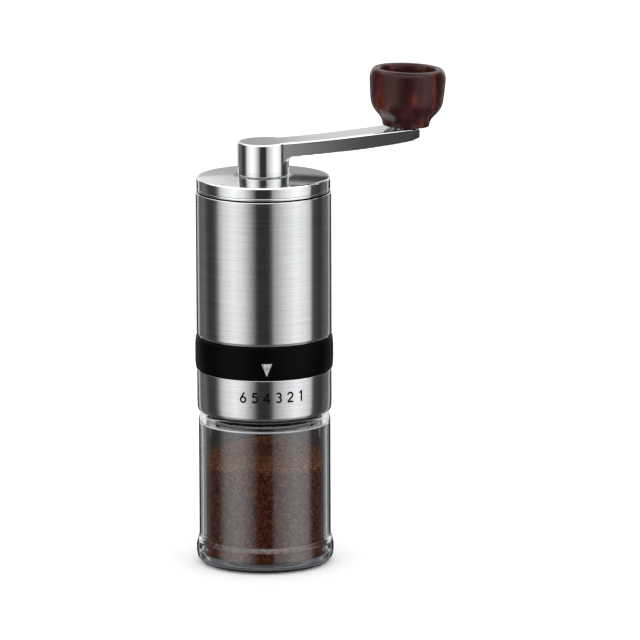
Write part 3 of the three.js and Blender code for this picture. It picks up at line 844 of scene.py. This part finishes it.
def build_jar():
    outer = filleted(
        [
            (0, 0),
            (20.6, 0.0, 0.6),
            (22.2, 0.3, 0.8),
            (24.6, 0.5, 1.0),
            (26.1, 2.2, 1.6),
            (26.5, 4.4, 2.5),
            (26.5, 6.6, 1.6),
            (25.9, 9.3, 1.2),
            (JAR_R, 10.4, 2.0),
            (JAR_R, 58.6, 3.1),
            (NECK_R, 59.55, 0.4),
            (NECK_R, NECK_TOP, 0.6),
            (NECK_BORE, NECK_TOP, 0.6),
            (NECK_BORE, 57.5, 1.0),
            (JAR_BORE - 0.05, 56.4, 2.4),
            (JAR_BORE, 9.9, 2.0),
            (24.1, 7.8, 1.6),
            (24.1, 4.4, 1.6),
            (22.9, 2.1, 1.6),
            (18.0, 1.9, 1.0),
            (0, 1.8),
        ],
        steps=8,
    )
    parts = [turned(outer)]
    for deg in (0, 180):
        z = THREAD_Z - JAR_LEAD * deg / 360
        section = [
            (NECK_R - 0.3, z - 0.75),
            (NECK_R + 1.05, z - 0.5),
            (NECK_R + 1.3, z - 0.2),
            (NECK_R + 1.3, z + 0.2),
            (NECK_R + 1.05, z + 0.5),
            (NECK_R - 0.3, z + 0.75),
        ]
        parts.append(swept(section, JAR_LEAD, deg - 40, deg + 110, 60))
    points, faces = joined(parts, "jar_part")
    piece("glass_jar", points, faces, glass, "jar_unit", "jar_glass", ["jar"])


def ripple(x, y, seed):
    """Smooth repeatable lumps, from about 25 mm down to 2 mm long, with heights within one."""
    rng = np.random.default_rng(seed)
    total = np.zeros_like(x)
    for reach, size in ((0.25, 0.5), (0.6, 0.3), (1.4, 0.16), (2.8, 0.1)):
        for _ in range(6):
            turn, phase = rng.uniform(0, math.tau, 2)
            total += size / 6 * np.sin(reach * (x * math.cos(turn) + y * math.sin(turn)) + phase)
    return total


def heap_height(x, y):
    """The top of the coffee: crowned, leaning up to the back, and lumpy."""
    share = (x * x + y * y) / HEAP_R**2
    lumps = 1.6 * ripple(np.array(x), np.array(y), LUMP_SEED)
    return float(HEAP_Z + HEAP_CROWN * (1 - share) + 0.105 * y + 0.02 * x + lumps)


def build_coffee():
    """The grounds fill the jar to an uneven heap; loose grains lie on top."""
    across = 168
    points, rows = [], []
    rng = np.random.default_rng(HEAP_SEED)

    def ring(r, height):
        """One row of points at a radius, or one point at the middle, with heights from x and y."""
        count = across if r else 1
        rows.append(list(range(len(points), len(points) + count)))
        for i in range(count):
            x, y, _ = polar(r, math.tau * i / across, 0.0)
            points.append((x, y, height(x, y)))

    def side_height(share):
        return lambda x, y: HEAP_FOOT + (heap_height(x, y) - 0.3 - HEAP_FOOT) * share

    for r in (0.0, *np.linspace(0.7, HEAP_R - 0.5, 46)):
        ring(r, lambda x, y: rng.uniform(-0.22, 0.22) + heap_height(x, y))
    ring(HEAP_R - 0.12, heap_height)
    for share in (0.97, 0.6, 0.3, 0.0):
        ring(HEAP_R, side_height(share))
    foot = [(23.0, 8.5), (23.5, 7.2), (23.65, 5.0), (23.3, 3.9), (22.4, 3.0), (21.0, 2.45), (0.0, 2.4)]
    for r, z in foot:
        ring(r, lambda x, y, z=z: z)
    faces = []
    for upper, lower in zip(rows, rows[1:]):
        for i in range(across):
            j = (i + 1) % across
            a, b = upper[i % len(upper)], upper[j % len(upper)]
            c, d = lower[j % len(lower)], lower[i % len(lower)]
            faces.append(list(dict.fromkeys((b, a, d, c))))
    in_jar = (coffee, "jar_unit", "coffee")
    grounds = piece("coffee_bed", points, faces, *in_jar, ["ground_coffee"], smooth=False)
    grounds.data.shade_smooth()
    points, faces = loose_grains()
    piece("coffee_grains", points, faces, *in_jar, smooth=False)


def loose_grains():
    """Points and faces of small angular grains scattered over the heap."""
    rng = np.random.default_rng(GRAIN_SEED)
    points, faces = [], []
    for _ in range(GRAINS):
        r, angle = (HEAP_R - 1.0) * math.sqrt(rng.uniform()), rng.uniform(0, math.tau)
        x, y, _ = polar(r, angle, 0.0)
        z = heap_height(x, y) + rng.uniform(0.0, 0.25)
        size = rng.uniform(0.16, 0.42)
        base = len(points)
        turn = rng.uniform(0, math.tau)
        for k in range(4):
            a = turn + math.tau * k / 4
            dx, dy, dz = polar(size * rng.uniform(0.7, 1.2), a, rng.uniform(-0.1, 0.1))
            points.append((x + dx, y + dy, z + dz))
        points.append((x, y, z + size * rng.uniform(0.6, 1.0)))
        points.append((x, y, z - size * rng.uniform(0.6, 1.0)))
        for k in range(4):
            a, b = base + k, base + (k + 1) % 4
            faces += [(a, b, base + 4), (b, a, base + 5)]
    return points, faces


# ---- inner parts kept from the CAD ----
def dress_cad_nodes():
    """Gives each CAD node its slot's finish, and rounds the shading of its facets."""
    slots = {part["node"]: part["material_slot"] for part in frame["record"]["subparts"]}
    for name, item in nodes.items():
        item.data.materials.clear()
        item.data.materials.append(SLOT_LOOKS[slots[name]])
        item.data.polygons.foreach_set("use_smooth", [True] * len(item.data.polygons))
        weld = item.modifiers.new("weld", "WELD")
        weld.merge_threshold = 0.000004
        split = item.modifiers.new("edges", "EDGE_SPLIT")
        split.split_angle = math.radians(32)


# ---- stage, light and camera ----
def build_stage():
    """A white floor just under the jar, which shows its shadow and no mirror image of it."""
    size, drop = 6.0, 0.00002
    mesh = bpy.data.meshes.new("floor")
    corners = [(-size, -size, 0), (size, -size, 0), (size, size, 0), (-size, size, 0)]
    mesh.from_pydata([Vector(c) - Vector((0, 0, drop)) for c in corners], [], [(0, 1, 2, 3)])
    look = Look("floor", (0.93, 0.93, 0.93), 0.9, Specular_IOR_Level=0.1)
    tone = look.noise(look.stretched(3, 3, 3), detail=2.0)
    look.use("Base Color", look.ramp(tone, [(0.3, [0.925] * 3), (0.7, [0.935] * 3)]))
    mesh.materials.append(look.material)
    floor = bpy.data.objects.new("floor", mesh)
    bpy.context.scene.collection.objects.link(floor)
    floor.visible_glossy = False
    floor.visible_transmission = False


# The studio's brightness by direction, as (degrees, brightness). 0 is the camera's side, + its right,
# and 180 is behind the grinder. These stops are for the sides, at every height.
SIDES = [
    (-147, 0.8),
    (-143, 0.12),
    (-122, 0.17),
    (-108, 0.05),
    (-92, 0.055),
    (-85, 0.22),
    (-80, 0.62),
    (-72, 0.92),
    (-52, 1.26),
    (-36, 1.0),
    (-20, 0.38),
    (-11.5, 0.035),
    (8.5, 0.03),
    (13.2, 0.085),
    (17, 0.42),
    (34, 0.85),
    (57, 1.30),
    (76, 1.05),
    (87, 0.72),
    (91, 0.08),
    (112, 0.04),
    (128, 0.14),
    (142, 0.16),
    (145, 0.6),
]
# The stops behind the grinder, left half and right half, at four heights from the floor up.
# A colour ramp holds 32 stops, so a pair of these holds 8 at most.
BEHIND_FLOOR = (
    [(-180, 0.016), (-158, 0.024), (-153.5, 0.1), (-150.5, 0.85)],
    [(149, 0.6), (152.5, 0.1), (159, 0.024)],
)
BEHIND_LEVEL = (
    [(-180, 0.36), (-178.5, 0.46), (-175, 0.8), (-150, 0.95)],
    [(149, 0.9), (174, 0.8), (177, 0.42), (179, 0.36)],
)
BEHIND_UPPER = (
    [(-180, 0.2), (-179, 0.5), (-177.2, 1.0), (-150, 0.95)],
    [(149, 0.9), (173.5, 0.8), (175.4, 0.02), (179.4, 0.05)],
)
BEHIND_HIGH = ([(-180, 0.85), (-150, 0.95)], [(149, 0.95), (179, 0.85)])
CEILING, ZENITH, NADIR = (2.0, 2.0, 2.02, 1.0), (0.8, 0.8, 0.81, 1.0), (0.12, 0.12, 0.13, 1.0)


def build_light():
    """A soft studio: tall panels left and right with dark gaps between them, and a bright ceiling."""
    world = bpy.data.worlds.new("studio")
    world.use_nodes = True
    tree = world.node_tree
    back = tree.nodes["Background"]

    def node(kind, inputs, **settings):
        return add_node(tree, kind, inputs, **settings)

    way = node("ShaderNodeTexCoord", {}).outputs["Generated"]
    seen = node("ShaderNodeMapping", {"Vector": way, "Rotation": (0, 0, math.radians(-VIEW_DEG))})
    parts = node("ShaderNodeSeparateXYZ", {"Vector": seen.outputs["Vector"]})
    flip = node("ShaderNodeMath", {0: parts.outputs["Y"], 1: -1.0}, operation="MULTIPLY").outputs[0]
    heading = node("ShaderNodeMath", {0: parts.outputs["X"], 1: flip}, operation="ARCTAN2").outputs[0]
    turn = {"Value": heading, "From Min": -math.pi, "From Max": math.pi, "To Min": 0.0, "To Max": 1.0}
    share = node("ShaderNodeMapRange", turn).outputs["Result"]

    def band(behind):
        """The brightness all round at one height, slightly blue, and bluer where it is darkest."""
        stops = []
        for deg, bright in (*behind[0], *SIDES, *behind[1]):
            tint = 0.85 if bright < 0.03 else 0.98
            color = (bright * tint, bright * (0.5 + tint / 2), bright)
            stops.append(((deg + 180) / 360, color))
        return fill_ramp(node("ShaderNodeValToRGB", {"Fac": share}), stops)

    def mixed(factor, first, second):
        """Two colours blended by a factor; 6 and 7 are the mix node's colour sockets, 2 its result."""
        inputs = {"Factor": factor, 6: first, 7: second}
        return node("ShaderNodeMix", inputs, data_type="RGBA").outputs[2]

    def above(low, high):
        """0 below one slope of the view direction, 1 above the other."""
        inputs = {"Value": parts.outputs["Z"], "From Min": low, "From Max": high}
        return node("ShaderNodeMapRange", inputs, interpolation_type="SMOOTHSTEP").outputs["Result"]

    light = band(BEHIND_FLOOR)
    light = mixed(above(-0.15, -0.03), light, band(BEHIND_LEVEL))
    light = mixed(above(0.165, 0.2), light, band(BEHIND_UPPER))
    light = mixed(above(0.25, 0.31), light, band(BEHIND_HIGH))
    light = mixed(above(0.35, 0.75), light, CEILING)
    light = mixed(above(0.86, 0.96), light, ZENITH)
    below = node("ShaderNodeMath", {0: 1.0, 1: above(-0.75, -0.35)}, operation="SUBTRACT").outputs[0]
    tree.links.new(mixed(below, light, NADIR), back.inputs["Color"])
    back.inputs["Strength"].default_value = 1.0
    bpy.context.scene.world = world


def build_camera():
    """A long lens, looking down a little from VIEW_DEG."""
    turn = Matrix.Rotation(math.radians(VIEW_DEG), 3, "Z")
    aim = turn @ Vector((0.0215, 0.0, 0.0946))
    rise, away, roll = math.radians(11.8), 2.4, math.radians(0.2)
    data = bpy.data.cameras.new("camera")
    data.sensor_width = 36.0
    data.lens = 351.0
    camera = bpy.data.objects.new("camera", data)
    bpy.context.scene.collection.objects.link(camera)
    camera.location = aim + away * (turn @ Vector((0.0, -math.cos(rise), math.sin(rise))))
    look_at = (aim - camera.location).to_track_quat("-Z", "Y").to_matrix().to_4x4()
    roll_by = Matrix.Rotation(-roll, 4, "Z")
    camera.matrix_world = Matrix.Translation(camera.location) @ look_at @ roll_by
    bpy.context.scene.camera = camera
    bpy.context.scene.view_settings.view_transform = "Standard"


dress_cad_nodes()
build_tube()
build_collar()
build_pointer()
build_number_ring()
build_numbers()
build_lid()
build_crank()
build_knob()
build_jar()
build_coffee()
build_stage()
build_light()
build_camera()
